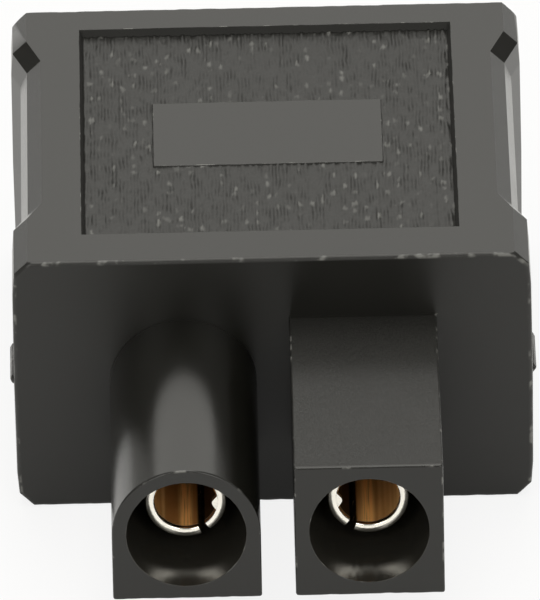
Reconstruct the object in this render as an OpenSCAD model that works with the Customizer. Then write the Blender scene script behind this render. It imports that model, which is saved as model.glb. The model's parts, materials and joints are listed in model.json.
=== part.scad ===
// Battery connector adapter: a one-piece black moulding with two front posts, each
// holding a recessed split-sleeve contact, and a keyed flat-blade socket in its rear end.
// Frame: +X right, posts towards -Y, socket towards +Y, Z up, origin under the middle.

/* [Body] */
// Width of the body at its parting line
body_w = 22.55; // [20.5:0.05:30]
// Length of the body, from the front face to the rear face
body_l = 22.0; // [18:0.1:32]
// Height of the body
body_h = 12.3; // [10.5:0.1:18]
// Bevel along the long top and bottom edges
edge_bevel = 0.62; // [0.2:0.02:1]
// Plan radius of the two rear corners
rear_corner_r = 0.45; // [0.2:0.05:2.2]
// Height of the leaning shoulder under the bevel
shoulder_h = 1.05; // [0.5:0.05:3]
// How far each flange side leans in over its shoulder
flange_draft = 0.08; // [0:0.02:0.3]
// How far every side wall leans in between the parting line and the shoulder
wall_draft = 0.03; // [0:0.01:0.1]

/* [Finger grip] */
// Length of the full-width flange behind the front face
front_flange_l = 3.9; // [2:0.1:5.5]
// Length of the slope between the front flange and the waist
front_ramp_l = 1.3; // [0.5:0.1:2.5]
// Length of the full-width flange at the rear end
rear_flange_l = 2.7; // [1.5:0.1:4]
// Length of the slope between the rear flange and the waist
rear_ramp_l = 1.75; // [0.5:0.05:3]
// How far the waist is set in from the flanges on each side
grip_inset = 0.63; // [0.2:0.01:1]
// How far the waist wall leans in over its shoulder
grip_draft = 0.3; // [0:0.02:0.4]

/* [Parting ribs] */
// How far the rib on each side of the front flange stands proud
rib_proud = 0.16; // [0.05:0.01:0.4]
// Height of the rib where it leaves the flange
rib_h = 0.7; // [0.3:0.05:1.5]
// Bare length left at each end of the rib
rib_end_gap = 0.45; // [0.2:0.05:0.7]

/* [Grip panel] */
// Distance from the sides of the body to the recessed panel
panel_side_margin = 3.075; // [2:0.025:4.5]
// Distance from the front face to the panel
panel_front_margin = 2.4; // [1:0.1:4]
// Distance from the rear face to the panel
panel_rear_margin = 1.75; // [1:0.05:4]
// Depth of the panel below the top face
panel_depth = 0.42; // [0.2:0.02:0.8]
// Lean of the panel's side walls
panel_draft = 0.16; // [0:0.02:0.3]
// Width of the bare raised rectangle in the top panel
plate_w = 10.0; // [5:0.1:11]
// Length of the bare raised rectangle
plate_l = 5.4; // [2:0.1:9]
// Height of the raised rectangle above the panel floor
plate_rise = 0.16; // [0.08:0.02:0.4]
// Lean of the raised rectangle's sides
plate_draft = 0.12; // [0:0.02:0.3]

/* [Posts] */
// Width and height of each post
post_w = 6.4; // [6:0.1:7.4]
// Length of each post in front of the body
post_l = 12.7; // [9:0.1:18]
// Distance between the two post centres
post_pitch = 7.85; // [7.5:0.05:9]
// Diameter of the bore in each post
bore_d = 5.15; // [4.8:0.05:5.7]
// How far the bore runs on into the body
bore_inset = 1.2; // [0.5:0.1:2.5]

/* [Contacts] */
// Outside diameter of the rolled sleeve
sleeve_d = 3.5; // [3:0.05:4]
// Thickness of the rolled contact strip
strip_t = 0.42; // [0.3:0.02:0.5]
// Rounding of the two edges of the sleeve's mouth
lip_r = 0.1; // [0.04:0.01:0.14]
// How far the mouth of the sleeve lies inside the post
sleeve_recess = 2.7; // [1:0.1:5]
// Width of the seam along the rolled sleeve
seam_w = 0.45; // [0.2:0.05:0.8]
// Direction of the seam, below the horizontal and towards the middle
seam_deg = 60; // [20:5:85]
// How far the sleeve is necked in where the body holds it
neck_in = 0.2; // [0.05:0.01:0.3]
// Length of the necked root inside the body
root_l = 2.5; // [1:0.1:3.5]
// Width of the strap between the root and the blade
strap_w = 2.4; // [1.6:0.1:3]
// Width of the rear blade
blade_w = 5.6; // [4:0.1:7]
// Length of the rear blade inside the socket
blade_l = 8.0; // [5:0.1:11]
// Corner cut at the blade tip
blade_corner = 0.9; // [0.3:0.1:1.8]
// Length of the thinned lead at the blade tip
blade_lead_l = 1.2; // [0.5:0.1:2]
// Clearance between a contact and the moulding that holds it
seat_gap = 0.02; // [0.01:0.01:0.05]

/* [Rear socket] */
// Width of the socket mouth
socket_w = 17.4; // [15.6:0.1:18.4]
// Height of the socket mouth
socket_h = 7.8; // [6.5:0.1:8.8]
// Depth of the socket
socket_depth = 12.5; // [11.5:0.1:13.5]
// Corner cut that keys the two upper corners
key_cut = 1.6; // [0.8:0.1:2.4]
// Lead-in bevel round the mouth
mouth_bevel = 0.45; // [0.2:0.05:0.8]

/* [Hidden] */
$fn = 96;
LEFT = -1;
RIGHT = 1;
// Overshoot that carries a cut past the face it opens
cut = 0.5;
// How far the posts run into the body behind its front face
post_embed = 0.5;

total_l = body_l + post_l;
y_tip = -total_l / 2;
y_face = y_tip + post_l;
y_rear = total_l / 2;
z_mid = body_h / 2;

flange_half_w = body_w / 2;
flange_top_half_w = flange_half_w - flange_draft - wall_draft;
y_front_ramp = y_face + front_flange_l;
y_rear_ramp = y_rear - rear_flange_l;

panel_half_w = body_w / 2 - panel_side_margin;
y_panel_front = y_face + panel_front_margin;
y_panel_rear = y_rear - panel_rear_margin;
y_panel_mid = (y_panel_front + y_panel_rear) / 2;
panel_half_l = (y_panel_rear - y_panel_front) / 2;

y_bore_floor = y_face + bore_inset;
y_socket_floor = y_rear - socket_depth;
y_sleeve_mouth = y_tip + sleeve_recess;
y_root_end = y_bore_floor + root_l;
y_strap = y_bore_floor + root_l / 2;
y_blade_tip = y_socket_floor + blade_l;

sleeve_r = sleeve_d / 2;
root_r = sleeve_r - neck_in;
seam_a = 2 * asin(seam_w / sleeve_d);
blade_t = 2 * strip_t;
z_strap = z_mid - root_r;

// Half section of the body: flat, bevel, shoulder, wall, and the same mirrored below the parting line
function half_section(top_half_w, draft) = [
    [top_half_w - edge_bevel, body_h],
    [top_half_w, body_h - edge_bevel],
    [top_half_w + draft, body_h - edge_bevel - shoulder_h],
    [top_half_w + draft + wall_draft, z_mid],
    [top_half_w + draft, edge_bevel + shoulder_h],
    [top_half_w, edge_bevel],
    [top_half_w - edge_bevel, 0]
];

// The same points on the left side, in the order that closes the outline
function mirrored(points) = [for (i = [len(points) - 1:-1:0]) [-points[i][0], points[i][1]]];

// Rectangle at height z, given by half sizes and its middle along Y
function rect_ring(half_w, half_l, y, z) =
    [for (s = [[-1, -1], [1, -1], [1, 1], [-1, 1]]) [s[0] * half_w, y + s[1] * half_l, z]];

// Outline of the socket, grown by g on every side, with its two upper corners cut
function socket_outline(g) =
    let (w = socket_w / 2 + g, h = socket_h / 2 + g)
    [
        [-w, -h],
        [w, -h],
        [w, h - key_cut],
        [w - key_cut, h],
        [key_cut - w, h],
        [-w, h - key_cut]
    ];

// Solid through rings with the same number of points, each anticlockwise seen from the last ring
module loft(rings) {
    n = len(rings[0]);
    last = len(rings) - 1;
    sides = [
        for (r = [0:last - 1], i = [0:n - 1])
        let (j = (i + 1) % n)
        [r * n + i, (r + 1) * n + i, (r + 1) * n + j, r * n + j]
    ];
    first_cap = [for (i = [0:n - 1]) i];
    last_cap = [for (i = [n - 1:-1:0]) last * n + i];
    polyhedron([for (r = rings) each r], concat([first_cap], sides, [last_cap]));
}

// Plane shape in X and Z carried along Y from y0 to y1
module along_y(y0, y1) {
    translate([0, y1, 0]) rotate([90, 0, 0]) linear_extrude(y1 - y0) children();
}

// Space outside the half section, on the right, along the whole body and past both ends
module outside_of(section, squeeze = 1) {
    far = body_w;
    along_y(-total_l, total_l) polygon(concat(
        [[far, body_h + cut], [section[0][0] * squeeze - cut, body_h + cut]],
        [for (p = section) [p[0] * squeeze, p[1]]],
        [[section[0][0] * squeeze - cut, -cut], [far, -cut]]
    ));
}

// Space outside a slope that leaves the flange at y0 and runs inwards, towards +Y or -Y
module outside_of_ramp(y0, ramp_l, towards) {
    turn = atan(grip_inset / ramp_l);
    translate([0, y0, 0]) rotate([0, 0, towards * turn])
        outside_of(half_section(flange_top_half_w, flange_draft), cos(turn));
}

// Waste of the finger grip on the right side: the waist and its two slopes
module grip_cut() {
    intersection() {
        outside_of(half_section(flange_top_half_w - grip_inset, grip_draft));
        outside_of_ramp(y_front_ramp, front_ramp_l, 1);
        outside_of_ramp(y_rear_ramp, rear_ramp_l, -1);
    }
}

// Block with a waist for the fingers on both sides and bevelled long edges
module body_block() {
    section = half_section(flange_top_half_w, flange_draft);
    difference() {
        along_y(y_face, y_rear) polygon(concat(section, mirrored(section)));
        for (side = [LEFT, RIGHT]) mirror([side == LEFT ? 1 : 0, 0, 0]) {
            grip_cut();
            rear_corner();
        }
    }
}

// Waste outside the rounded rear corner on the right side
module rear_corner() {
    translate([flange_half_w - rear_corner_r, y_rear - rear_corner_r, -cut])
        linear_extrude(body_h + 2 * cut) difference() {
            square(rear_corner_r + cut);
            circle(rear_corner_r);
        }
}

// Low rib along the parting line on one side of the front flange
module parting_rib(side) {
    x_inside = flange_top_half_w - rib_proud;
    x_crest = flange_half_w + rib_proud;
    along_y(y_face + rib_end_gap, y_front_ramp - rib_end_gap) translate([0, z_mid]) polygon([
        [side * x_inside, -rib_h / 2],
        [side * x_crest, -rib_h / 4],
        [side * x_crest, rib_h / 4],
        [side * x_inside, rib_h / 2]
    ]);
}

// Waste of the recessed panel with leaning walls, on the top face
module panel_pocket() {
    lean = panel_draft / panel_depth * cut;
    loft([
        rect_ring(panel_half_w - panel_draft, panel_half_l - panel_draft, y_panel_mid, body_h - panel_depth),
        rect_ring(panel_half_w + lean, panel_half_l + lean, y_panel_mid, body_h + cut)
    ]);
}

// Bare rectangle with leaning sides that stays standing in the panel
module bare_plate() {
    z_floor = body_h - panel_depth;
    lean = plate_draft / plate_rise * (plate_rise + cut);
    loft([
        rect_ring(plate_w / 2 + lean, plate_l / 2 + lean, y_panel_mid, z_floor - cut),
        rect_ring(plate_w / 2, plate_l / 2, y_panel_mid, z_floor + plate_rise)
    ]);
}

// Post outline: square below, square or round above, about its own bore
module post_outline(arched) {
    if (arched) {
        circle(d = post_w);
        translate([-post_w / 2, -post_w / 2]) square([post_w, post_w / 2]);
    } else {
        square(post_w, center = true);
    }
}

// Waste of the keyed socket: straight walls, then a lead-in bevel at the mouth
module socket_cavity() {
    stations = [[y_rear + cut, mouth_bevel + cut], [y_rear - mouth_bevel, 0], [y_socket_floor, 0]];
    loft([for (s = stations) [for (p = socket_outline(s[1])) [p[0], s[0], z_mid + p[1]]]]);
}

// Waste that seats one contact: its bore, root and strap
module contact_seat() {
    along_y(y_tip - cut, y_bore_floor) translate([0, z_mid]) circle(d = bore_d);
    along_y(y_bore_floor - cut, y_root_end + seat_gap)
        translate([0, z_mid]) circle(root_r + seat_gap);
    translate([-strap_w / 2 - seat_gap, y_strap - seat_gap, z_strap - seat_gap])
        cube([strap_w + 2 * seat_gap, y_socket_floor - y_strap + cut, blade_t + 2 * seat_gap]);
}

module housing() {
    color("#1d1c1b") difference() {
        union() {
            body_block();
            for (side = [LEFT, RIGHT]) {
                parting_rib(side);
                along_y(y_tip, y_face + post_embed)
                    translate([side * post_pitch / 2, z_mid]) post_outline(side == LEFT);
            }
        }
        difference() {
            panel_pocket();
            bare_plate();
        }
        translate([0, 0, body_h]) mirror([0, 0, 1]) panel_pocket();
        socket_cavity();
        for (side = [LEFT, RIGHT]) translate([side * post_pitch / 2, 0, 0]) contact_seat();
    }
}

// Half section of the rolled sleeve: flat lip with rounded edges, straight wall, necked root
module sleeve_section() {
    wall_l = y_bore_floor - y_sleeve_mouth;
    for (x = [sleeve_r - strip_t + lip_r, sleeve_r - lip_r])
        translate([x, -y_sleeve_mouth - lip_r]) circle(lip_r);
    translate([sleeve_r - strip_t + lip_r, -y_bore_floor]) square([strip_t - 2 * lip_r, wall_l]);
    translate([sleeve_r - strip_t, -y_bore_floor]) square([strip_t, wall_l - lip_r]);
    translate([root_r - strip_t, -y_root_end]) square([strip_t, root_l + strip_t]);
}

// Rolled sleeve with an open seam, about the post axis
module sleeve() {
    translate([0, 0, z_mid]) rotate([90, 0, 0]) rotate([0, 0, -seam_deg + seam_a / 2])
        rotate_extrude(angle = 360 - seam_a) sleeve_section();
}

// Strap and blade seen from above
module blade_plan() {
    translate([-strap_w / 2, y_strap]) square([strap_w, y_socket_floor + cut - y_strap]);
    polygon([
        [-blade_w / 2, y_socket_floor],
        [blade_w / 2, y_socket_floor],
        [blade_w / 2, y_blade_tip - blade_corner],
        [blade_w / 2 - blade_corner, y_blade_tip],
        [blade_corner - blade_w / 2, y_blade_tip],
        [-blade_w / 2, y_blade_tip - blade_corner]
    ]);
}

// Strap and blade seen from the side, thinned towards the tip
module blade_side() {
    polygon([
        [y_bore_floor, 0],
        [y_blade_tip - blade_lead_l, 0],
        [y_blade_tip, blade_t / 4],
        [y_blade_tip, blade_t * 3 / 4],
        [y_blade_tip - blade_lead_l, blade_t],
        [y_bore_floor, blade_t]
    ]);
}

// Strip that joins the sleeve to its blade, doubled over on itself
module strap_and_blade() {
    translate([0, 0, z_strap]) intersection() {
        linear_extrude(blade_t) blade_plan();
        translate([-blade_w, 0, 0]) rotate([90, 0, 90]) linear_extrude(2 * blade_w) blade_side();
    }
}

// One contact, formed from a single strip: sleeve in front, flat blade behind
module contact() {
    color("#d9ae5c") translate([RIGHT * post_pitch / 2, 0, 0]) mirror([1, 0, 0]) {
        sleeve();
        strap_and_blade();
    }
}

module contact_left() {
    mirror([1, 0, 0]) contact();
}

module contact_right() {
    contact();
}

housing();
contact_left();
contact_right();
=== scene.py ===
"""Looks of a battery connector adapter: moulding, grained grips, plated contacts and a white stage.

Lengths are in metres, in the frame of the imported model: +X right, posts towards -Y, +Z up.
"""

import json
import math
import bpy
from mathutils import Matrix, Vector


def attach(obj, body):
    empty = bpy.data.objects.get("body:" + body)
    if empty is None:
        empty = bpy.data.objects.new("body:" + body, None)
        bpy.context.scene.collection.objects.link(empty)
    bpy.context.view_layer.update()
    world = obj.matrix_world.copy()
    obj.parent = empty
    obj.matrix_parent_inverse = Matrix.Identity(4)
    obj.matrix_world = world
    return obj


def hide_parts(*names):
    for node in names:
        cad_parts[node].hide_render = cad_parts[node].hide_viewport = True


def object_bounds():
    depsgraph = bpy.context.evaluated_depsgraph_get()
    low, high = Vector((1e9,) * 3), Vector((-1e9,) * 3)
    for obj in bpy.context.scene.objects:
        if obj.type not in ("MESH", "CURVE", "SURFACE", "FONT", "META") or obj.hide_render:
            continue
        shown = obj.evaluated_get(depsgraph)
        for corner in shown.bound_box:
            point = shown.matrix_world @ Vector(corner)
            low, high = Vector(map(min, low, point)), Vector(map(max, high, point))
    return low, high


bl_info = {
    "name": "Battery Connector Adapter",
    "version": (1, 0, 0),
    "blender": (4, 5, 0),
    "location": "View3D > Sidebar > Adapter",
    "description": "Dresses the packed adapter with its moulded, grained and plated finishes",
    "category": "Object",
}

import bmesh
import bpy
from mathutils import Matrix, Vector, noise

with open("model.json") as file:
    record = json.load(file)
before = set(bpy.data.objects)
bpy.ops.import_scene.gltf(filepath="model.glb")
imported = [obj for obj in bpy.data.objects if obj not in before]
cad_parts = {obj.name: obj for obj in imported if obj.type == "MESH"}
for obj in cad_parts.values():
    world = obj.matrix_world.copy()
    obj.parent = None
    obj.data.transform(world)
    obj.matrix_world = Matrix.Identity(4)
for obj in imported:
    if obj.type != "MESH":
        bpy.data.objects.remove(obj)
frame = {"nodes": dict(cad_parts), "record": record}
CAD_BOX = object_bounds()

MM = 0.001
BODY = "root"
HOUSING = frame["nodes"]["housing"]
CONTACTS = [frame["nodes"]["contact_left"], frame["nodes"]["contact_right"]]
MOUNTS = {mount["name"]: mount for mount in frame["record"]["mounts"]}
SLEEVES = [MOUNTS["left_sleeve"], MOUNTS["right_sleeve"]]
SIDES = {"left": -1, "right": 1}

# The photograph's frame, in pixels
PHOTO_W = 540
PHOTO_H = 600

# The camera's sensor, in millimetres, and the range that it sees
SENSOR_W = 36
CLIP_START = 0.01
CLIP_END = 10

# How far a point may lie off a surface of the frame and still belong to it
MOUTH_SKIN = 0.005 * MM
HAIR = 0.01 * MM
BORE_SKIN = 0.02 * MM
SLEEVE_SKIN = 0.03 * MM
RIM_SKIN = 0.02 * MM
BORE_MARGIN = 0.05 * MM
POST_MARGIN = 0.1 * MM
WALL_MARGIN = 0.3 * MM
PANEL_MARGIN = 0.5 * MM
BODY_SKIN = 1.0 * MM

FLAT_SHARE = 0.9999  # least share of a flat face's normal along its axis
LEVEL_DIGITS = 6  # levels of flat faces are told apart to a micrometre

# Bends between two faces
FLAT_BEND = math.radians(0.4)  # below it they are one flat
SMOOTH_BEND = math.radians(5)  # below it they always shade as one
FACET_BEND = math.radians(16)  # most between the facets of a round surface
ROUND_BEND = math.radians(35)  # most between the strips of a rounding
CREASE_BEND = math.radians(50)  # above it a lofted skin has a crease
FOLD_BEND = math.radians(150)  # above it the mesh is folded

FACET_W = 0.6 * MM  # most width of a facet of a round surface
ROUND_SEGMENTS = 3  # strips of a rounding
BURR_SHARE = 0.25  # height of a burr over the depth of a dent
LIP_ROOT = 3  # depth of a lip's hidden root, in lip sinks

# Noise levels between which a mark fades in
HAZE_BAND = (0.44, 0.50)
TARNISH_BAND = (0.45, 0.75)
STREAK_BAND = (0.4, 0.6)
HIGHLIGHT_BAND = (0.25, 0.55)
DASH_BAND = (0.35, 0.65)
SPECK_BAND = (0.35, 0.55)
SPECK_CHANCE = (0.4, 1.05)
BRUISE_FADE = 0.12

STREAK_BASE = 0.15  # least share of bright plating in a sleeve's streaks
STREAK_SPAN = 0.6  # share that a streak adds to it
FULL_SHARE = 0.3  # share of the lip or of the painted highlight stripe before it fades
SHADE_FULL = 1.4  # where a sleeve's painted shade is full, over where it starts

SWAY_LENGTH = 5  # length of a ridge's sway, in ridge pitches
SWAY = 0.4  # how far a ridge sways, in ridge pitches
ROW_STRIDE = 7.3  # keeps the dashes of neighbouring ridges apart
RIDGE_BASE = 0.2  # height of a ridge between its dashes, over its full height
SPECK_STRETCH = 2  # length of a speck over its width
RAGGED = 3.6  # how strongly the fine streaks fray a speck


# Reading the frame


def flat_levels(node, axis, sign):
    """Boxes (low, high) of the node's flat faces that look along an axis, outermost first."""
    corners = {}
    for face in node.data.polygons:
        if face.normal[axis] * sign > FLAT_SHARE:
            level = round(face.center[axis], LEVEL_DIGITS)
            points = [node.data.vertices[i].co for i in face.vertices]
            corners.setdefault(level, []).extend(points)
    return [
        (Vector(map(min, *corners[level])), Vector(map(max, *corners[level])))
        for level in sorted(corners, reverse=sign > 0)
    ]


def off_axis(point, sleeve):
    """Distance of a point from a sleeve's own axis."""
    x, _, z = sleeve["pos_m"]
    return math.hypot(point.x - x, point.z - z)


PLATE, TOP_FLOOR = flat_levels(HOUSING, 2, 1)[1:3]
LOW_FLOOR = flat_levels(HOUSING, 2, -1)[1]
TIP_Y, FACE_Y = (low.y for low, high in flat_levels(HOUSING, 1, -1)[:2])
REAR_Y = CAD_BOX[1].y
BODY_H = CAD_BOX[1].z
BODY_CENTRE = Vector((0, (FACE_Y + REAR_Y) / 2, BODY_H / 2))
SLEEVE_X = SLEEVES[1]["pos_m"][0]
SLEEVE_Z = SLEEVES[1]["pos_m"][2]
SLEEVE_R = SLEEVES[1]["dims"]["r_mm"] * MM
SLEEVE_MOUTH_Y = min(vertex.co.y for vertex in CONTACTS[0].data.vertices)
BORE_R = min(
    off_axis(vertex.co, SLEEVES[0])
    for vertex in HOUSING.data.vertices
    if abs(vertex.co.y - TIP_Y) < HAIR
)


# Node trees


class Wire:
    """An output socket that takes part in arithmetic: each operator adds a Math node."""

    def __init__(self, sheet, socket):
        self.sheet = sheet
        self.socket = socket

    def math(self, operation, *others):
        """A Math node of this wire, followed by any other terms."""
        return self.sheet.math(operation, self, *others)

    def __add__(self, other):
        return self.math("ADD", other)

    __radd__ = __add__

    def __sub__(self, other):
        return self.math("SUBTRACT", other)

    def __rsub__(self, other):
        return self.sheet.math("SUBTRACT", other, self)

    def __mul__(self, other):
        return self.math("MULTIPLY", other)

    __rmul__ = __mul__

    def __truediv__(self, other):
        return self.math("DIVIDE", other)

    def __rtruediv__(self, other):
        return self.sheet.math("DIVIDE", other, self)

    def __lt__(self, other):
        return self.math("LESS_THAN", other)

    def __gt__(self, other):
        return self.math("GREATER_THAN", other)

    def __abs__(self):
        return self.math("ABSOLUTE")


class Sheet:
    """One node tree, with a single method that adds any node and wires it up."""

    def __init__(self, tree):
        self.tree = tree

    def node(self, kind, settings=None, inputs=None, output=0):
        """Adds a node, sets its own settings, then its sockets.

        Returns the named output as a Wire, a list of Wires for a list of names, or None for an
        end node.
        """
        made = self.tree.nodes.new(kind)
        for name, value in (settings or {}).items():
            setattr(made, name, value)
        for key, value in (inputs or {}).items():
            if isinstance(value, Wire):
                self.tree.links.new(value.socket, made.inputs[key])
            else:
                made.inputs[key].default_value = value
        if not made.outputs:
            return None
        if isinstance(output, list):
            return [Wire(self, made.outputs[name]) for name in output]
        return Wire(self, made.outputs[output])

    def math(self, operation, *terms):
        """A Math node of some terms, in their order."""
        return self.node("ShaderNodeMath", {"operation": operation}, dict(enumerate(terms)))

    def split(self, place):
        """The X, Y and Z of a place."""
        return self.node("ShaderNodeSeparateXYZ", None, {0: place}, ["X", "Y", "Z"])

    def join(self, x, y, z):
        """A place with a given X, Y and Z."""
        return self.node("ShaderNodeCombineXYZ", None, {0: x, 1: y, 2: z})

    def noise(self, place, size, detail=2.0, seed=0.0, stretch=(1, 1, 1)):
        """Noise from 0 to 1 with features of a given size, drawn out along each axis by stretch."""
        squeezed = self.node(
            "ShaderNodeVectorMath",
            {"operation": "DIVIDE"},
            {0: place, 1: stretch},
        )
        return self.node(
            "ShaderNodeTexNoise",
            {"noise_dimensions": "4D"},
            {"Vector": squeezed, "W": seed, "Scale": 1 / size, "Detail": detail},
        )

    def ramp(self, value, low, high):
        """Smooth step from 0 at low to 1 at high."""
        return self.node(
            "ShaderNodeMapRange",
            {"interpolation_type": "SMOOTHSTEP"},
            {"Value": value, "From Min": low, "From Max": high},
        )

    def mix_colours(self, factor, first, second):
        """Blend of two colours, on the sockets that the Mix node keeps for colours."""
        return self.node(
            "ShaderNodeMix",
            {"data_type": "RGBA"},
            {0: factor, 6: first, 7: second},
            output=2,
        )

    def bump(self, height, strength, distance):
        """Normal of a surface that a height roughens."""
        return self.node(
            "ShaderNodeBump",
            None,
            {"Height": height, "Strength": strength, "Distance": distance},
        )

    def show(self, shader):
        """Ends a material with its shader."""
        self.node("ShaderNodeOutputMaterial", None, {"Surface": shader})


def new_material(name):
    """An empty material and the sheet of its tree."""
    material = bpy.data.materials.new(name)
    material.use_nodes = True
    material.node_tree.nodes.clear()
    return material, Sheet(material.node_tree)


def opaque(colour):
    """A colour with full alpha."""
    return (*colour, 1)


# Finishes


def off_sleeve_axis(x, z):
    """Distance of a place from the nearer sleeve's axis, as a wire."""
    from_axis = abs(x) - SLEEVE_X
    from_level = z - SLEEVE_Z
    return (from_axis * from_axis + from_level * from_level).math("SQRT")


def black_moulding(name, added_roughness=0.0, patchy=True):
    """Black plastic: mottling, fine grain, dull front face, hazy square post, lighter bores, pale
    worn places.

    The bores' lighter colour is painted light. The wear_and_glint attribute of the mesh says where
    the pale colour goes: on worn edges, where it also stands in as a painted highlight, and on the
    grain's specks, where it is a painted glint; in patches, or all over those places.
    """
    s = bpy.context.scene.adapter_moulding
    material, sheet = new_material(name)
    place = sheet.node("ShaderNodeTexCoord", output="Object")
    x, y, z = sheet.split(place)
    in_bore = off_sleeve_axis(x, z) < BORE_R + BORE_SKIN
    on_face = abs(y - FACE_Y) < s.face_depth
    along_post = (y < FACE_Y - s.face_depth) * (y > TIP_Y + s.face_depth)
    on_square_post = along_post * (x > 0) * (z > SLEEVE_Z + BORE_R)
    panel_x = TOP_FLOOR[1].x
    beside_panel = (abs(x) > panel_x - HAIR) * (abs(x) < panel_x + WALL_MARGIN)
    below_rim = (z > TOP_FLOOR[0].z - HAIR) * (z < BODY_H - RIM_SKIN)
    on_panel_wall = beside_panel * below_rim * (y > TOP_FLOOR[0].y - WALL_MARGIN)

    mottle = sheet.noise(place, s.mottle_size, detail=3)
    grain = sheet.noise(place, s.grain_size, detail=3, seed=3)
    haze = sheet.ramp(sheet.noise(place, s.haze_size, seed=9), *HAZE_BAND) * on_square_post
    wear_and_glint_mask = sheet.node("ShaderNodeAttribute", {"attribute_name": "wear_and_glint"}, output="Fac")
    if patchy:
        bruise = sheet.noise(place, s.bruise_size, detail=2, seed=7)
        wear_and_glint_mask = wear_and_glint_mask * sheet.ramp(bruise, s.bruise_start, s.bruise_start + BRUISE_FADE)

    mottled = sheet.mix_colours(mottle, opaque(s.dark_colour), opaque(s.light_colour))
    # Painted light: the bores take a lighter colour than the plastic, standing in for the light
    # inside them
    bore_lit = sheet.mix_colours(in_bore, mottled, opaque(s.painted_bore_light))
    # Pale colour of worn edges, partly a painted highlight along them, and painted glints on the
    # grain's specks
    colour = sheet.mix_colours(wear_and_glint_mask * s.wear_and_glint_amount, bore_lit, opaque(s.wear_and_glint_colour))
    varied = (mottle + grain - 1) * s.roughness_change + s.roughness
    duller = on_face * s.face_roughness + haze * s.haze_roughness
    outside = varied + duller + on_panel_wall * s.wall_roughness
    roughness = outside * (1 - in_bore) + in_bore * s.bore_roughness + added_roughness
    shader = sheet.node(
        "ShaderNodeBsdfPrincipled",
        None,
        {
            "Base Color": colour,
            "Roughness": roughness,
            "IOR": s.ior,
            "Normal": sheet.bump(grain, s.grain_strength, s.grain_size),
        },
    )
    sheet.show(shader)
    return material


def gold_plating():
    """Bright plating over drawn strip: draw lines, brown tarnish, streaked sleeves, and painted
    light.

    The lips take a near-white colour as a painted highlight. A sleeve's inside is dull, with a
    painted highlight stripe down its middle and painted shade on its side towards the slot.
    """
    s = bpy.context.scene.adapter_contacts
    material, sheet = new_material("gold_plating_finish")
    place = sheet.node("ShaderNodeTexCoord", output="Object")
    x, y, z = sheet.split(place)
    lip_end = SLEEVE_MOUTH_Y + s.lip_length
    lip = 1 - sheet.ramp(y, SLEEVE_MOUTH_Y + FULL_SHARE * s.lip_length, lip_end)
    inside = (off_sleeve_axis(x, z) < SLEEVE_R + SLEEVE_SKIN) * (1 - lip)
    from_middle = abs(x) - SLEEVE_X
    # Painted highlight: a bright stripe down the middle of each sleeve's inside, broken up by the
    # draw lines
    highlit = 1 - sheet.ramp(abs(from_middle), FULL_SHARE * s.highlight_w, s.highlight_w)
    # Painted shade: a dark colour on the side of each sleeve's inside towards the slot
    shaded = 1 - sheet.ramp(from_middle, -SHADE_FULL * s.shade_from, -s.shade_from)

    along = (1, s.line_stretch, 1)
    lines = sheet.noise(place, s.line_size, detail=2, stretch=along)
    stains = sheet.noise(place, s.tarnish_size, detail=3, seed=5)
    tarnish = sheet.ramp(stains, *TARNISH_BAND)
    drawn = sheet.noise(place, s.streak_size, detail=1, seed=8, stretch=along)
    streak = sheet.ramp(drawn, *STREAK_BAND) * STREAK_SPAN + STREAK_BASE
    highlight_lines = highlit * sheet.ramp(lines, *HIGHLIGHT_BAND)

    bright, brown = opaque(s.colour), opaque(s.tarnish_colour)
    stained = sheet.mix_colours(tarnish * s.tarnish_amount, bright, brown)
    streaked = sheet.mix_colours(streak, brown, bright)
    highlit_wall = sheet.mix_colours(highlight_lines, streaked, opaque(s.highlight_colour))
    shaded_wall = sheet.mix_colours(shaded, highlit_wall, opaque(s.shade_colour))
    walled = sheet.mix_colours(inside, stained, shaded_wall)
    # Painted highlight: the lip takes a near-white colour that stands in for its glare
    colour = sheet.mix_colours(lip, walled, opaque(s.lip_highlight_colour))
    dull = s.roughness + (lines + tarnish) * s.roughness_change + inside * s.inside_roughness
    shader = sheet.node(
        "ShaderNodeBsdfPrincipled",
        None,
        {
            "Base Color": colour,
            "Metallic": 1.0,
            "Roughness": dull * (1 - lip) + lip * s.lip_roughness,
            "Normal": sheet.bump(lines, s.line_strength, s.line_size),
        },
    )
    sheet.show(shader)
    return material


def white_floor():
    """Matt white floor that cameras and mirrors see nearer to pure white, with the shadow kept."""
    s = bpy.context.scene.adapter_stage
    material, sheet = new_material("white_floor_finish")
    rays = ["Is Camera Ray", "Is Glossy Ray", "Is Transmission Ray"]
    seen, mirrored_ray, refracted_ray = sheet.node("ShaderNodeLightPath", output=rays)
    lift = seen * s.floor_lift + (mirrored_ray + refracted_ray) * s.mirror_lift
    paint = sheet.node("ShaderNodeBsdfDiffuse", None, {"Color": opaque(s.floor_colour)})
    white = {"Color": opaque((1, 1, 1)), "Strength": 1.0}
    glow = sheet.node("ShaderNodeEmission", None, white)
    sheet.show(sheet.node("ShaderNodeMixShader", None, {0: lift, 1: paint, 2: glow}))
    return material


def grey_cloth():
    """Dark grey cloth with a coarse weave."""
    s = bpy.context.scene.adapter_stage
    material, sheet = new_material("grey_cloth_finish")
    place = sheet.node("ShaderNodeTexCoord", output="Object")
    weave = sheet.noise(place, s.weave_size, detail=2)
    shade = sheet.mix_colours(weave, opaque(s.cloth_dark), opaque(s.cloth_light))
    sheet.show(sheet.node("ShaderNodeBsdfDiffuse", None, {"Color": shade}))
    return material


# Meshes


def add_object(name, data):
    """A new object at the origin that holds a mesh, a lamp or a camera."""
    made = bpy.data.objects.new(name, data)
    bpy.context.scene.collection.objects.link(made)
    return made


def add_piece(name, mesh, material):
    """A piece of the part that rides on its body and takes the given finish."""
    piece = add_object(name, mesh)
    mesh.materials.clear()
    mesh.materials.append(material)
    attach(piece, BODY)
    return piece


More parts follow.
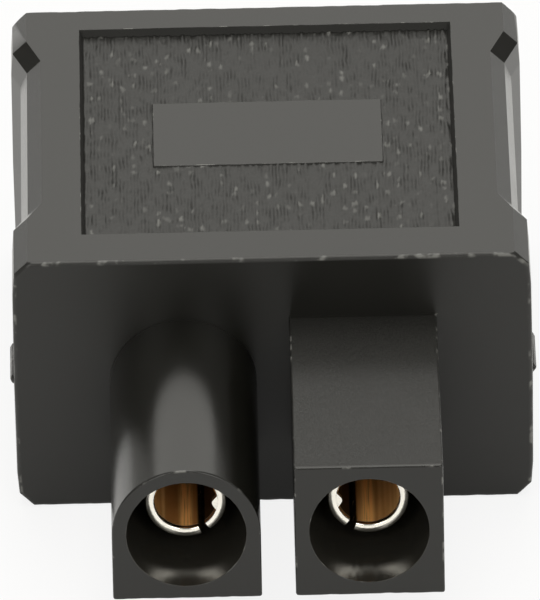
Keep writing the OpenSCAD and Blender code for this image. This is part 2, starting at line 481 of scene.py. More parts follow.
def finished_mesh(name, shell):
    """Mesh of a finished shell, which is freed."""
    mesh = bpy.data.meshes.new(name)
    shell.to_mesh(mesh)
    shell.free()
    return mesh


def rectangle(name, width, height):
    """Mesh of a flat rectangle round the origin that looks up."""
    x, y = width / 2, height / 2
    mesh = bpy.data.meshes.new(name)
    mesh.from_pydata([(-x, -y, 0), (x, -y, 0), (x, y, 0), (-x, y, 0)], [], [(0, 1, 2, 3)])
    return mesh


def off_nearer_axis(point):
    """Distance of a point from the nearer sleeve's axis."""
    return min(off_axis(point, sleeve) for sleeve in SLEEVES)


def edge_middle(edge):
    """Middle of an edge."""
    return (edge.verts[0].co + edge.verts[1].co) / 2


def deep_inside(point):
    """True for a point down a post's bore or in the body's seats, where edges stay sharp."""
    in_bore = point.y > TIP_Y + BORE_MARGIN and off_nearer_axis(point) < BORE_R + BORE_MARGIN
    in_body = (
        FACE_Y + BODY_SKIN < point.y < REAR_Y - BODY_SKIN
        and abs(point.x) < CAD_BOX[1].x - 2 * BODY_SKIN
        and BODY_SKIN < point.z < BODY_H - BODY_SKIN
    )
    return in_bore or in_body


def outer_edges(shell, least_angle):
    """Convex edges on the outside of a shell that are sharper than an angle."""
    return [
        edge
        for edge in shell.edges
        if len(edge.link_faces) == 2
        and edge.is_convex
        and least_angle < edge.calc_face_angle() < FOLD_BEND
        and not deep_inside(edge_middle(edge))
    ]


def is_fine(edge):
    """True for a crisp edge: of a bore's mouth in a post's tip, or of the panel's rim or plate."""
    points = [vertex.co for vertex in edge.verts]
    on_mouth = all(
        abs(point.y - TIP_Y) < HAIR and off_nearer_axis(point) < BORE_R + HAIR for point in points
    )
    low, high = TOP_FLOOR
    on_panel = all(
        abs(point.x) < high.x + PANEL_MARGIN
        and low.y - PANEL_MARGIN < point.y < high.y + PANEL_MARGIN
        and point.z > low.z - HAIR
        for point in points
    )
    return on_mouth or on_panel


def is_on_post(edge):
    """True for an edge of a post in front of the body."""
    return edge_middle(edge).y < FACE_Y - POST_MARGIN


def is_on_body(edge):
    """True for an edge of the body."""
    return not is_on_post(edge)


def is_curved(edge):
    """True where two narrow facets of one round surface meet."""
    if edge.calc_face_angle() > FACET_BEND:
        return False
    return all(2 * face.calc_area() / face.calc_perimeter() < FACET_W for face in edge.link_faces)


def round_edges(shell, edges, radius, step):
    """Rounds edges, divided into lengths of about one step, and returns the new faces."""
    for edge in shell.edges:
        edge.seam = False
    for edge in edges:
        edge.seam = True
    for edge in edges:
        cuts = int(edge.calc_length() / step)
        if cuts:
            bmesh.ops.subdivide_edges(shell, edges=[edge], cuts=cuts)
    parts = [edge for edge in shell.edges if edge.seam]
    for edge in parts:
        edge.smooth = True
    made = bmesh.ops.bevel(
        shell,
        geom=parts,
        offset=radius,
        offset_type="OFFSET",
        segments=ROUND_SEGMENTS,
        profile=0.5,
        affect="EDGES",
        clamp_overlap=False,
        loop_slide=False,
    )
    return set(made["faces"])


def softened_shell(node, settings):
    """Copy of the housing with rounded, lightly nicked outer edges and a wear_and_glint attribute.

    Each rounding rebuilds the edges round it, so the edges of the next one are gathered anew.
    """
    s = settings
    shell = bmesh.new()
    shell.from_mesh(node.data)
    bmesh.ops.remove_doubles(shell, verts=shell.verts, dist=s.merge_distance)
    bmesh.ops.dissolve_limit(
        shell,
        angle_limit=FLAT_BEND,
        verts=shell.verts,
        edges=shell.edges,
    )
    for edge in shell.edges:
        edge.smooth = is_curved(edge)
    rounded = set()
    passes = (
        (s.fine_radius, is_fine),
        (s.post_radius, is_on_post),
        (s.edge_radius, is_on_body),
    )
    for radius, wanted in passes:
        edges = [
            edge
            for edge in outer_edges(shell, s.soften_angle)
            if wanted(edge) and not rounded.intersection(edge.link_faces)
        ]
        rounded |= round_edges(shell, edges, radius, s.nick_step)
    shell.normal_update()
    for edge in {edge for face in rounded for edge in face.edges}:
        bend = edge.calc_face_angle(math.pi)
        edge.smooth = bend < SMOOTH_BEND or edge.is_convex and bend < ROUND_BEND
    nick_edges(shell, rounded, s)
    for face in shell.faces:
        face.smooth = True
    return finished_mesh("moulded_housing", shell)


def nick_edges(shell, rounded, settings):
    """Dents the middle of each rounding a little, and marks it for the pale colour of wear, which
    also stands in as a painted highlight on the edge.
    """
    s = settings
    worn = shell.verts.layers.float.new("wear_and_glint")
    shifts = {}
    for vertex in {vertex for face in rounded for vertex in face.verts}:
        inner = all(face in rounded for face in vertex.link_faces)
        vertex[worn] = float(inner)
        if inner:
            dent = noise.noise(vertex.co / s.nick_size) * s.nick_depth
            shifts[vertex] = vertex.normal * min(BURR_SHARE * s.nick_depth, -dent)
    for vertex, shift in shifts.items():
        vertex.co += shift


def grain_tree():
    """Geometry nodes of a grained panel: broken ridges, fine streaks and raised specks marked for
    pale painted glints.
    """
    tree = bpy.data.node_groups.new("grip_grain", "GeometryNodeTree")
    floats = (
        "Width",
        "Length",
        "Plate Width",
        "Plate Length",
        "Ridge Pitch",
        "Ridge Height",
        "Dash Length",
        "Grain Size",
        "Grain Stretch",
        "Grain Height",
        "Speck Spacing",
        "Speck Radius",
        "Speck Height",
        "Fade",
        "Clearance",
    )
    for name in floats:
        tree.interface.new_socket(name, in_out="INPUT", socket_type="NodeSocketFloat")
    for name in ("Columns", "Rows", "Seed"):
        tree.interface.new_socket(name, in_out="INPUT", socket_type="NodeSocketInt")
    tree.interface.new_socket("Material", in_out="INPUT", socket_type="NodeSocketMaterial")
    tree.interface.new_socket("Geometry", in_out="OUTPUT", socket_type="NodeSocketGeometry")
    sheet = Sheet(tree)
    names = [socket.name for socket in tree.interface.items_tree if socket.in_out == "INPUT"]
    given = dict(zip(names, sheet.node("NodeGroupInput", output=names)))
    grid = sheet.node(
        "GeometryNodeMeshGrid",
        None,
        {
            "Size X": given["Width"],
            "Size Y": given["Length"],
            "Vertices X": given["Columns"],
            "Vertices Y": given["Rows"],
        },
    )
    place = sheet.node("GeometryNodeInputPosition")
    x, y, _ = sheet.split(place)
    streak = fine_streaks(sheet, given, x, y)
    speck = glint_specks(sheet, given, x, y, streak)
    ridge = ridge_height(sheet, given, place, x, y)
    height = ridge + streak * given["Grain Height"] + speck * given["Speck Height"]
    to_side = given["Width"] / 2 - abs(x)
    to_end = given["Length"] / 2 - abs(y)
    border = sheet.ramp(to_side.math("MINIMUM", to_end), 0.0, given["Fade"])
    lift = sheet.join(0.0, 0.0, height * border + given["Clearance"])
    raised = sheet.node("GeometryNodeSetPosition", None, {"Geometry": grid, "Offset": lift})
    worn = sheet.node(
        # Painted glints: the specks are marked for the pale colour, standing in for the glints of
        # the grain
        "GeometryNodeStoreNamedAttribute",
        {"data_type": "FLOAT", "domain": "POINT"},
        {"Geometry": raised, "Name": "wear_and_glint", "Value": speck * border},
    )
    under_plate = (abs(x) < given["Plate Width"] / 2) * (abs(y) < given["Plate Length"] / 2)
    cut = sheet.node(
        "GeometryNodeDeleteGeometry",
        {"domain": "FACE"},
        {"Geometry": worn, "Selection": under_plate},
    )
    smooth = sheet.node("GeometryNodeSetShadeSmooth", None, {"Geometry": cut})
    real = sheet.node("GeometryNodeRealizeInstances", None, {"Geometry": smooth})
    painted = sheet.node(
        "GeometryNodeSetMaterial",
        None,
        {"Geometry": real, "Material": given["Material"]},
    )
    sheet.node("NodeGroupOutput", None, {"Geometry": painted})
    return tree


def ridge_height(sheet, given, place, x, y):
    """Height of the broken lengthwise ridges."""
    seed = given["Seed"]
    sway = sheet.noise(place, given["Ridge Pitch"] * SWAY_LENGTH, seed=seed)
    across = x / given["Ridge Pitch"] + sway * SWAY
    wave = (across.math("FRACT") * math.pi).math("SINE")
    row = across.math("FLOOR") * ROW_STRIDE
    dash_place = sheet.join(row, y / given["Dash Length"], seed)
    dash = sheet.ramp(sheet.noise(dash_place, 1.0, detail=1, seed=seed), *DASH_BAND)
    full = dash * (1 - RIDGE_BASE) + RIDGE_BASE
    return wave * wave * full * given["Ridge Height"]


def fine_streaks(sheet, given, x, y):
    """Fine lengthwise streaks from 0 to 1."""
    size, seed = given["Grain Size"], given["Seed"]
    streak_place = sheet.join(x / size, y / size / given["Grain Stretch"], seed)
    return sheet.noise(streak_place, 1.0, detail=2, seed=seed)


def glint_specks(sheet, given, x, y, streak):
    """Small ragged spots from 0 to 1, longer than wide, one or none to a random cell."""
    spacing = given["Speck Spacing"]
    cell_place = sheet.join(x / spacing, y / spacing / SPECK_STRETCH, given["Seed"])
    distance, tint = sheet.node(
        "ShaderNodeTexVoronoi",
        {"voronoi_dimensions": "2D"},
        {"Vector": cell_place, "Scale": 1.0},
        ["Distance", "Color"],
    )
    chance = sheet.split(tint)[0]
    frayed = 1 + RAGGED / 2 - streak * RAGGED
    reach = distance * spacing / given["Speck Radius"] * frayed
    dome = (1 - reach * reach).math("MAXIMUM", 0.0)
    return dome * sheet.ramp(chance, *SPECK_CHANCE) * sheet.ramp(streak, *SPECK_BAND)


def close_underside(mesh, depth):
    """Turns an open sheet into a thin slab with a flat underside."""
    slab = bmesh.new()
    slab.from_mesh(mesh)
    rim = [edge for edge in slab.edges if edge.is_boundary]
    walls = bmesh.ops.extrude_edge_only(slab, edges=rim)["geom"]
    for part in walls:
        if isinstance(part, bmesh.types.BMVert):
            part.co.z = -depth
    lower = [edge for edge in slab.edges if edge.is_boundary]
    bmesh.ops.triangle_fill(slab, edges=lower, use_beauty=False, normal=(0, 0, -1))
    bmesh.ops.recalc_face_normals(slab, faces=slab.faces)
    slab.to_mesh(mesh)
    slab.free()


def grained_panel(name, tree, floor, plate_size, turned, material):
    """Bakes one grained panel and moves its mesh onto a panel floor, turned to look outwards."""
    s = bpy.context.scene.adapter_grain
    low, high = floor
    width, length_y = (high.x - low.x + 2 * s.overlap, high.y - low.y + 2 * s.overlap)
    values = {
        "Width": width,
        "Length": length_y,
        "Plate Width": plate_size[0],
        "Plate Length": plate_size[1],
        "Ridge Pitch": s.ridge_pitch,
        "Ridge Height": s.ridge_height,
        "Dash Length": s.dash_length,
        "Grain Size": s.grain_size,
        "Grain Stretch": s.grain_stretch,
        "Grain Height": s.grain_height,
        "Speck Spacing": s.speck_spacing,
        "Speck Radius": s.speck_radius,
        "Speck Height": s.speck_height,
        "Fade": s.overlap,
        "Clearance": s.clearance,
        "Columns": int(width / s.cell_w),
        "Rows": int(length_y / s.cell_l),
        "Seed": s.seed,
        "Material": material,
    }
    carrier = add_object(name + "_carrier", bpy.data.meshes.new(name + "_carrier"))
    modifier = carrier.modifiers.new("grip_grain", "NODES")
    modifier.node_group = tree
    for socket in tree.interface.items_tree:
        if socket.in_out == "INPUT":
            modifier[socket.identifier] = values[socket.name]
    carrier.update_tag()
    graph = bpy.context.evaluated_depsgraph_get()
    mesh = bpy.data.meshes.new_from_object(carrier.evaluated_get(graph))
    mesh.name = name
    carrier.modifiers.remove(modifier)
    bpy.data.objects.remove(carrier)
    close_underside(mesh, s.sink)
    mesh.transform(Matrix.Translation((low + high) / 2) @ turned)
    return add_piece(name, mesh, material)


def lofted_piece(name, rings, material):
    """A plated piece with a closed skin through rings of points, capped at both ends."""
    shell = bmesh.new()
    loops = [[shell.verts.new(point) for point in ring] for ring in rings]
    for low, high in zip(loops, loops[1:]):
        for i in range(len(low)):
            shell.faces.new((low[i - 1], low[i], high[i], high[i - 1])).smooth = True
    shell.faces.new(loops[0])
    shell.faces.new(loops[-1])
    bmesh.ops.recalc_face_normals(shell, faces=shell.faces)
    for edge in shell.edges:
        edge.smooth = edge.calc_face_angle() < CREASE_BEND
    return add_piece(name, finished_mesh(name, shell), material)


def shares(steps):
    """Even steps from 0 to 1."""
    return [i / steps for i in range(steps + 1)]


def around(sleeve, radius, angle, y):
    """Point at a radius and an angle round a sleeve's axis."""
    x, _, z = sleeve["pos_m"]
    return (x + radius * math.cos(angle), y, z + radius * math.sin(angle))


def spring_rib(name, sleeve, settings, material):
    """Pressed spring rib on a sleeve's inner wall, on the side towards the part's middle."""
    s = settings
    steps_a, steps_y = 16, 28
    on_left = sleeve["pos_m"][0] < 0

    def point(radius, u, v):
        up = s.rib_turn + (u - 0.5) * s.rib_spread
        y = SLEEVE_MOUTH_Y + s.rib_setback + v * s.rib_length
        return around(sleeve, radius, up if on_left else math.pi - up, y)

    rings = []
    for v in shares(steps_y):
        rise = (s.rib_root + s.rib_rise) * math.cos(math.pi / 2 * max(0, 2 * v - 1)) ** 2
        rim_r = SLEEVE_R + s.rib_root
        front = [point(rim_r - rise * math.sin(math.pi * u), u, v) for u in shares(steps_a)]
        back = [point(rim_r + s.rib_root, u, v) for u in reversed(shares(steps_a))]
        rings.append(front + back)
    return lofted_piece(name, rings, material)


def sleeve_lip(name, node, sleeve, settings, material):
    """Crowned lip on the flat end of a split sleeve, open at the slot."""
    s = settings
    steps_a, steps_r = 96, 10
    x, _, z = sleeve["pos_m"]
    points = [vertex.co for vertex in node.data.vertices]
    end = [point for point in points if point.y < SLEEVE_MOUTH_Y + MOUTH_SKIN]
    radii = [off_axis(point, sleeve) for point in end]
    inner, outer = min(radii), max(radii)
    angles = sorted(math.atan2(point.z - z, point.x - x) for point in end)
    gaps = [(high - low) % math.tau for low, high in zip(angles[-1:] + angles, angles)]
    slot = max(gaps)
    first = angles[gaps.index(slot)]
    root_y = SLEEVE_MOUTH_Y + LIP_ROOT * s.lip_sink
    rings = []
    for v in shares(steps_a):
        angle = first + (math.tau - slot) * v
        ring = []
        for u in shares(steps_r):
            rise = (s.lip_crown + s.lip_sink) * (1 - (2 * u - 1) ** 2) - s.lip_sink
            radius = inner + u * (outer - inner)
            ring.append(around(sleeve, radius, angle, SLEEVE_MOUTH_Y - rise))
        ring.append(around(sleeve, outer, angle, root_y))
        ring.append(around(sleeve, inner, angle, root_y))
        rings.append(ring)
    return lofted_piece(name, rings, material)


# Settings


def length(name, description, default):
    """A property in metres."""
    return bpy.props.FloatProperty(
        name=name, description=description, default=default, unit="LENGTH", precision=5
    )


def extent(name, description, default):
    """A width and a height in metres."""
    return bpy.props.FloatVectorProperty(
        name=name, description=description, default=default, size=2, unit="LENGTH"
    )


def spot(name, description, default):
    """A place in metres."""
    return bpy.props.FloatVectorProperty(
        name=name, description=description, default=default, subtype="TRANSLATION"
    )


def share(name, description, default):
    """A property between 0 and 1."""
    return bpy.props.FloatProperty(
        name=name, description=description, default=default, min=0, max=1, subtype="FACTOR"
    )


def number(name, description, default, least=0):
    """A plain number from a least value up."""
    return bpy.props.FloatProperty(name=name, description=description, default=default, min=least)


def colour(name, description, default):
    """A linear colour."""
    return bpy.props.FloatVectorProperty(
        name=name, description=description, default=default, min=0, max=1, subtype="COLOR"
    )


def turn(name, description, degrees):
    """An angle, given in degrees and kept in radians."""
    return bpy.props.FloatProperty(
        name=name, description=description, default=math.radians(degrees), subtype="ANGLE"
    )


class AdapterMoulding(bpy.types.PropertyGroup):
    """Sizes and finish of the black moulding."""

    edge_radius: length("Edge Radius", "Rounding of the body's outer edges", 0.2 * MM)
    post_radius: length("Post Radius", "Rounding of the posts' edges", 0.1 * MM)
    fine_radius: length("Fine Radius", "Rounding at the bores' mouths and the panel", 0.03 * MM)
    merge_distance: length("Merge Distance", "Corners closer than this become one", 0.012 * MM)
    soften_angle: turn("Soften Angle", "Edges sharper than this are rounded", 50)
    nick_step: length("Nick Step", "Spacing of the points along a worn edge", 0.22 * MM)
    nick_size: length("Nick Size", "Size of the small dents along an edge", 0.5 * MM)
    nick_depth: length("Nick Depth", "Depth of the small dents along an edge", 0.03 * MM)
    dark_colour: colour("Dark Colour", "Darker shade of the plastic", (0.0066, 0.0064, 0.0052))
    light_colour: colour("Light Colour", "Lighter shade of the plastic", (0.0102, 0.0099, 0.0080))
    # Pale colour of wear on edges, partly painted highlight, and of painted glints on the grain's
    # specks
    wear_and_glint_colour: colour("Wear Colour", "Shade of worn edges and specks", (0.23, 0.23, 0.217))
    wear_and_glint_amount: share("Wear Amount", "Strength of worn edges and specks", 0.6)
    bruise_size: length("Bruise Size", "Size of the bruises along an edge", 0.6 * MM)
    bruise_start: share("Bruise Start", "Noise level at which a bruise begins", 0.56)
    mottle_size: length("Mottle Size", "Size of the faint cloudy mottling", 2.5 * MM)
    grain_size: length("Grain Size", "Size of the fine surface grain", 0.05 * MM)
    grain_strength: share("Grain Strength", "Strength of the fine surface grain", 0.06)
    roughness: share("Roughness", "Mean roughness of the plastic", 0.19)
    roughness_change: share("Roughness Change", "How far the roughness varies", 0.10)
    face_roughness: share("Face Roughness", "Roughness added on the front face", 0.14)
    face_depth: length("Face Depth", "Depth over which the front face is duller", 0.15 * MM)
    wall_roughness: share("Wall Roughness", "Roughness added on the panel's side walls", 0.5)
    haze_size: length("Haze Size", "Size of the hazy spots of the square post", 0.015 * MM)
    haze_roughness: share("Haze Roughness", "Roughness added in the hazy spots", 0.5)
    # Painted light: lighter colour inside the bores
    painted_bore_light: colour("Bore Colour", "Dusty shade inside the bores", (0.032, 0.030, 0.025))
    bore_roughness: share("Bore Roughness", "Roughness inside the bores", 0.13)
    ior: number("Refraction", "Index of refraction of the plastic", 1.52, least=1)


class AdapterGrain(bpy.types.PropertyGroup):
    """Sizes of the grained grip panels."""

    ridge_pitch: length("Ridge Pitch", "Distance between neighbouring ridges", 0.31 * MM)
    ridge_height: length("Ridge Height", "Height of a ridge above the panel floor", 0.058 * MM)
    dash_length: length("Dash Length", "Length over which a ridge rises and fades", 1.3 * MM)
    grain_size: length("Grain Size", "Width of the fine streaks on the ridges", 0.17 * MM)
    grain_stretch: number("Grain Stretch", "Length of a fine streak over its width", 5)
    grain_height: length("Grain Height", "Height of the fine streaks", 0.14 * MM)
    speck_spacing: length("Speck Spacing", "Mean distance of neighbouring specks", 0.48 * MM)
    speck_radius: length("Speck Radius", "Half width of a rubbed speck", 0.105 * MM)
    speck_height: length("Speck Height", "Height of a rubbed speck", 0.02 * MM)
    roughness: share("Roughness", "Roughness added on the grain", 0.24)
    clearance: length("Clearance", "Least height of the grain above the panel floor", 0.012 * MM)
    cell_w: length("Cell Width", "Mesh spacing across the ridges", 0.055 * MM)
    cell_l: length("Cell Length", "Mesh spacing along the ridges", 0.065 * MM)
    overlap: length("Overlap", "How far the grain runs into the panel walls", 0.10 * MM)
    sink: length("Sink", "How far the underside lies below the panel floor", 0.10 * MM)
    seed: bpy.props.IntProperty(name="Seed", description="Seed of the random grain", default=11)


class AdapterContacts(bpy.types.PropertyGroup):
    """Sizes and finish of the plated contacts."""

    rib_rise: length("Rib Rise", "Height of the pressed spring rib", 0.2 * MM)
    rib_root: length("Rib Root", "How far the rib's rim lies inside the sleeve wall", 0.12 * MM)
    rib_length: length("Rib Length", "Length of the pressed spring rib", 4.0 * MM)
    rib_setback: length("Rib Setback", "Distance from the sleeve mouth to the rib", 0.01 * MM)
    rib_spread: turn("Rib Spread", "Angle that the rib takes round the sleeve", 34)
    rib_turn: turn("Rib Turn", "Direction of the rib above the horizontal", -4)
    colour: colour("Colour", "Colour of the plating", (0.86, 0.62, 0.28))
    tarnish_colour: colour("Tarnish Colour", "Colour of the tarnish", (0.5, 0.23, 0.06))
    tarnish_amount: share("Tarnish Amount", "Strength of the tarnish", 0.5)
    tarnish_size: length("Tarnish Size", "Size of the tarnished patches", 1.2 * MM)
    line_size: length("Line Size", "Width of the draw lines", 0.06 * MM)
    line_stretch: number("Line Stretch", "Length of a draw line over its width", 40)
    line_strength: share("Line Strength", "Strength of the draw lines", 0.08)
    streak_size: length("Streak Size", "Width of the streaks inside a sleeve", 0.45 * MM)
    roughness: share("Roughness", "Least roughness of the plating", 0.18)
    roughness_change: share("Roughness Change", "How far the roughness varies", 0.12)
    inside_roughness: share("Inside Roughness", "Roughness added inside the sleeves", 0.72)
    # Painted highlight: width and colour of the bright stripe painted down a sleeve's middle
    highlight_w: length("Rubbed Width", "Half width of the stripe that the pin rubs bright", 0.4 * MM)
    highlight_colour: colour("Rubbed Colour", "Colour of the rubbed stripe", (1.0, 0.7, 0.3))
    # Painted shade: where it starts and its colour, on a sleeve's side by the slot
    shade_from: length("Shade From", "From a sleeve's middle to its dark side", 0.42 * MM)
    shade_colour: colour("Shade Colour", "Colour of the dark side by the slot", (0.06, 0.03, 0.01))
    # Painted highlight: near-white colour of a sleeve's lip
    lip_highlight_colour: colour("Lip Colour", "Colour of the rubbed lip of a sleeve", (1.0, 0.965, 0.88))
    lip_roughness: share("Lip Roughness", "Roughness of the rubbed lip", 0.15)
    lip_crown: length("Lip Crown", "How far the middle of the rubbed lip stands out", 0.016 * MM)
    lip_sink: length("Lip Sink", "How far the lip's rims lie inside the sleeve's end", 0.006 * MM)
    lip_length: length("Lip Length", "Length of the rubbed lip", 0.3 * MM)


class AdapterStage(bpy.types.PropertyGroup):
    """Camera, floor, lights and grey screens."""

    distance: length("Distance", "From the camera to the middle of the body", 0.8)
    elevation: turn("Elevation", "Height of the camera above the horizon", 30.57)
    azimuth: turn("Azimuth", "How far the camera looks to the right of the part's length", 0.25)
    roll: turn("Roll", "How far the part's width rises to the right in the picture", 1.14)
    scale: number("Scale", "Pixels of the photograph to a metre at the body", 22750)
    centre_pixel: bpy.props.FloatVectorProperty(
        name="Centre Pixel",
        description="Where the middle of the body lies in the photograph",
        size=2,
        default=(269.9, 251.6),
        subtype="COORDINATES",
    )
    floor_size: length("Floor Size", "Side of the floor", 3.0)
    floor_drop: length("Floor Drop", "How far the floor lies below the part's base", 0.02 * MM)
    floor_colour: colour("Floor Colour", "Colour of the floor", (0.95, 0.95, 0.95))
    floor_lift: share("Floor Lift", "How far the camera sees the floor as pure white", 0.85)
    mirror_lift: share("Mirror Lift", "How far gloss and glass show the floor as pure white", 0.3)
    light_colour: colour("Light Colour", "Colour of surroundings and soft boxes", (1, 0.985, 0.93))
    surround: number("Surround", "Strength of the white surroundings", 0.5)
    overhead: number("Overhead", "Brightness of the soft box overhead", 2.4)
    overhead_size: extent("Overhead Size", "Size of the soft box overhead", (0.42, 1.1))
    overhead_place: spot("Overhead Place", "Where that box hangs", (0, 0.12, 0.9))
    rear: number("Rear", "Brightness of the soft box behind", 0.78)
    rear_size: extent("Rear Size", "Size of the soft box behind", (1.3, 0.9))
    rear_place: spot("Rear Place", "Where that box hangs", (0, 1.25, 0.84))
    front: number("Front", "Brightness of the two soft boxes in front", 2.8)
    front_size: extent("Front Size", "Size of each soft box in front", (0.32, 0.7))
    front_place: spot("Front Place", "Where the right one of them hangs", (0.40, -0.9, 0.5))
    flag_size: extent("Flag Size", "Size of each grey screen", (0.6, 0.55))
    flag_place: spot("Flag Place", "Where the right grey screen stands", (1.0, 0.76, 0.34))
    weave_size: length("Weave Size", "Size of the weave of the screens' cloth", 4 * MM)
    cloth_dark: colour("Cloth Dark", "Darker shade of the cloth", (0.2, 0.2, 0.2))
    cloth_light: colour("Cloth Light", "Lighter shade of the cloth", (0.3, 0.3, 0.3))


# Operators


class ADAPTER_OT_moulded_housing(bpy.types.Operator):
    """Make the black moulding with rounded, lightly worn edges"""

    bl_idname = "adapter.moulded_housing"
    bl_label = "Moulded Housing"

    def execute(self, context):
        mesh = softened_shell(HOUSING, context.scene.adapter_moulding)
        material = black_moulding("black_moulding_finish")
        piece = add_piece("moulded_housing", mesh, material)
        weighted = piece.modifiers.new("weighted_normals", "WEIGHTED_NORMAL")
        weighted.keep_sharp = True
        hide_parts("housing")
        return {"FINISHED"}


class ADAPTER_OT_grip_panels(bpy.types.Operator):
    """Make the grained floors of the upper and lower grip panels"""

    bl_idname = "adapter.grip_panels"
    bl_label = "Grip Panels"

    def execute(self, context):
        s = context.scene.adapter_grain
        tree = grain_tree()
        material = black_moulding("grip_grain_finish", s.roughness, patchy=False)
        low, high = PLATE
        plate_size = (high.x - low.x - 2 * s.overlap, high.y - low.y - 2 * s.overlap)
        upright = Matrix.Identity(4)
        grained_panel("upper_grip_grain", tree, TOP_FLOOR, plate_size, upright, material)
        upside_down = Matrix.Rotation(math.pi, 4, "Y")
        grained_panel("lower_grip_grain", tree, LOW_FLOOR, (0, 0), upside_down, material)
        return {"FINISHED"}


class ADAPTER_OT_plated_contacts(bpy.types.Operator):
    """Finish the two contacts, press their spring ribs and crown their lips"""

    bl_idname = "adapter.plated_contacts"
    bl_label = "Plated Contacts"

    def execute(self, context):
        s = context.scene.adapter_contacts
        material = gold_plating()
        for node in CONTACTS:
            node.data.materials.clear()
            node.data.materials.append(material)
        for side, node, sleeve in zip(SIDES, CONTACTS, SLEEVES):
            spring_rib(side + "_spring_rib", sleeve, s, material)
            sleeve_lip(side + "_sleeve_lip", node, sleeve, s, material)
        return {"FINISHED"}


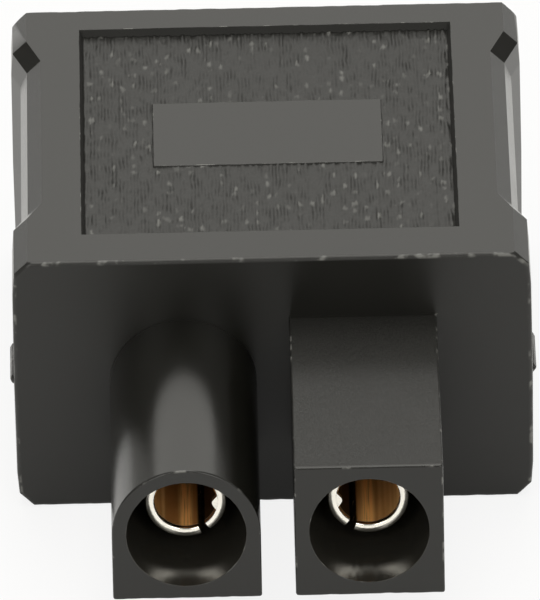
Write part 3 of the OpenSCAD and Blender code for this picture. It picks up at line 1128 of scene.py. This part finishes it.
class ADAPTER_OT_white_stage(bpy.types.Operator):
    """Set the white floor, the lights, the grey screens and the camera"""

    bl_idname = "adapter.white_stage"
    bl_label = "White Stage"

    def execute(self, context):
        s = context.scene.adapter_stage
        self.lay_floor(s)
        self.light_surroundings(context.scene, s)
        self.hang_soft_box("overhead_box", s, s.overhead, s.overhead_size, s.overhead_place)
        self.hang_soft_box("rear_box", s, s.rear, s.rear_size, s.rear_place)
        cloth = grey_cloth()
        for name, side in SIDES.items():
            place = self.mirrored(s.front_place, side)
            self.hang_soft_box(f"front_{name}_box", s, s.front, s.front_size, place)
            place = self.mirrored(s.flag_place, side)
            self.stand_flag(f"{name}_flag", s.flag_size, place, cloth)
        self.set_camera(context.scene, s)
        context.scene.view_settings.view_transform = "Standard"
        return {"FINISHED"}

    @staticmethod
    def mirrored(place, side):
        """A place on the right, or its mirror image on the left for a side of -1."""
        return Vector((side * place[0], place[1], place[2]))

    def lay_floor(self, s):
        mesh = rectangle("floor", s.floor_size, s.floor_size)
        mesh.transform(Matrix.Translation((0, 0, -s.floor_drop)))
        mesh.materials.append(white_floor())
        add_object("floor", mesh)

    def light_surroundings(self, scene, s):
        world = bpy.data.worlds.new("white_surroundings")
        world.use_nodes = True
        world.node_tree.nodes.clear()
        sheet = Sheet(world.node_tree)
        white = {"Color": opaque(s.light_colour), "Strength": s.surround}
        background = sheet.node("ShaderNodeBackground", None, white)
        sheet.node("ShaderNodeOutputWorld", None, {"Surface": background})
        scene.world = world

    def hang_soft_box(self, name, s, brightness, size, place):
        """An area lamp aimed at the body, equally bright from anywhere in front of it."""
        lamp = bpy.data.lights.new(name, "AREA")
        lamp.color = s.light_colour
        lamp.shape = "RECTANGLE"
        lamp.size, lamp.size_y = size
        lamp.energy = brightness * math.pi * size[0] * size[1]
        box = add_object(name, lamp)
        aim = (BODY_CENTRE - Vector(place)).to_track_quat("-Z", "Y")
        box.matrix_world = Matrix.Translation(place) @ aim.to_matrix().to_4x4()
        box.visible_camera = False

    def stand_flag(self, name, size, place, cloth):
        """A grey screen turned to the body, which darkens the sloped ends of the waist."""
        mesh = rectangle(name, *size)
        facing = (place - BODY_CENTRE).to_track_quat("Z", "Y")
        mesh.transform(Matrix.Translation(place) @ facing.to_matrix().to_4x4())
        mesh.materials.append(cloth)
        flag = add_object(name, mesh)
        flag.visible_camera = False

    def set_camera(self, scene, s):
        """A camera that shows the middle of the body at its pixel, at the photograph's scale."""
        data = bpy.data.cameras.new("camera")
        camera = add_object("camera", data)
        focal_pixels = s.scale * s.distance
        data.sensor_width = SENSOR_W
        data.lens = focal_pixels / PHOTO_H * SENSOR_W
        data.clip_start = CLIP_START
        data.clip_end = CLIP_END
        level = math.cos(s.elevation)
        ahead = (math.sin(s.azimuth) * level, math.cos(s.azimuth) * level, -math.sin(s.elevation))
        forward = Vector(ahead)
        level_right = Vector((math.cos(s.azimuth), -math.sin(s.azimuth), 0))
        level_up = level_right.cross(forward)
        right = level_right * math.cos(s.roll) - level_up * math.sin(s.roll)
        up = level_right * math.sin(s.roll) + level_up * math.cos(s.roll)
        across = (s.centre_pixel[0] - PHOTO_W / 2) / focal_pixels
        above = (PHOTO_H / 2 - s.centre_pixel[1]) / focal_pixels
        axis = (forward - right * across - up * above).normalized()
        right = (right - axis * right.dot(axis)).normalized()
        up = right.cross(axis)
        turned = Matrix((right, up, -axis)).transposed().to_4x4()
        camera.matrix_world = Matrix.Translation(BODY_CENTRE - forward * s.distance) @ turned
        scene.camera = camera


class ADAPTER_PT_pieces(bpy.types.Panel):
    """Pieces and settings of the adapter"""

    bl_idname = "ADAPTER_PT_pieces"
    bl_label = "Battery Connector Adapter"
    bl_space_type = "VIEW_3D"
    bl_region_type = "UI"
    bl_category = "Adapter"

    def draw(self, context):
        for operator, group in PIECES:
            box = self.layout.box()
            box.operator(operator.bl_idname)
            settings = getattr(context.scene, group)
            for name in settings.__annotations__:
                box.prop(settings, name)


GROUPS = {
    "adapter_moulding": AdapterMoulding,
    "adapter_grain": AdapterGrain,
    "adapter_contacts": AdapterContacts,
    "adapter_stage": AdapterStage,
}
PIECES = [
    (ADAPTER_OT_moulded_housing, "adapter_moulding"),
    (ADAPTER_OT_grip_panels, "adapter_grain"),
    (ADAPTER_OT_plated_contacts, "adapter_contacts"),
    (ADAPTER_OT_white_stage, "adapter_stage"),
]
CLASSES = [*GROUPS.values(), *(operator for operator, _ in PIECES), ADAPTER_PT_pieces]


def register():
    for kind in CLASSES:
        bpy.utils.register_class(kind)
    for name, kind in GROUPS.items():
        setattr(bpy.types.Scene, name, bpy.props.PointerProperty(type=kind))


def unregister():
    for name in GROUPS:
        delattr(bpy.types.Scene, name)
    for kind in reversed(CLASSES):
        bpy.utils.unregister_class(kind)


def main():
    register()
    bpy.ops.adapter.white_stage()
    bpy.ops.adapter.moulded_housing()
    bpy.ops.adapter.grip_panels()
    bpy.ops.adapter.plated_contacts()


if __name__ == "__main__":
    main()
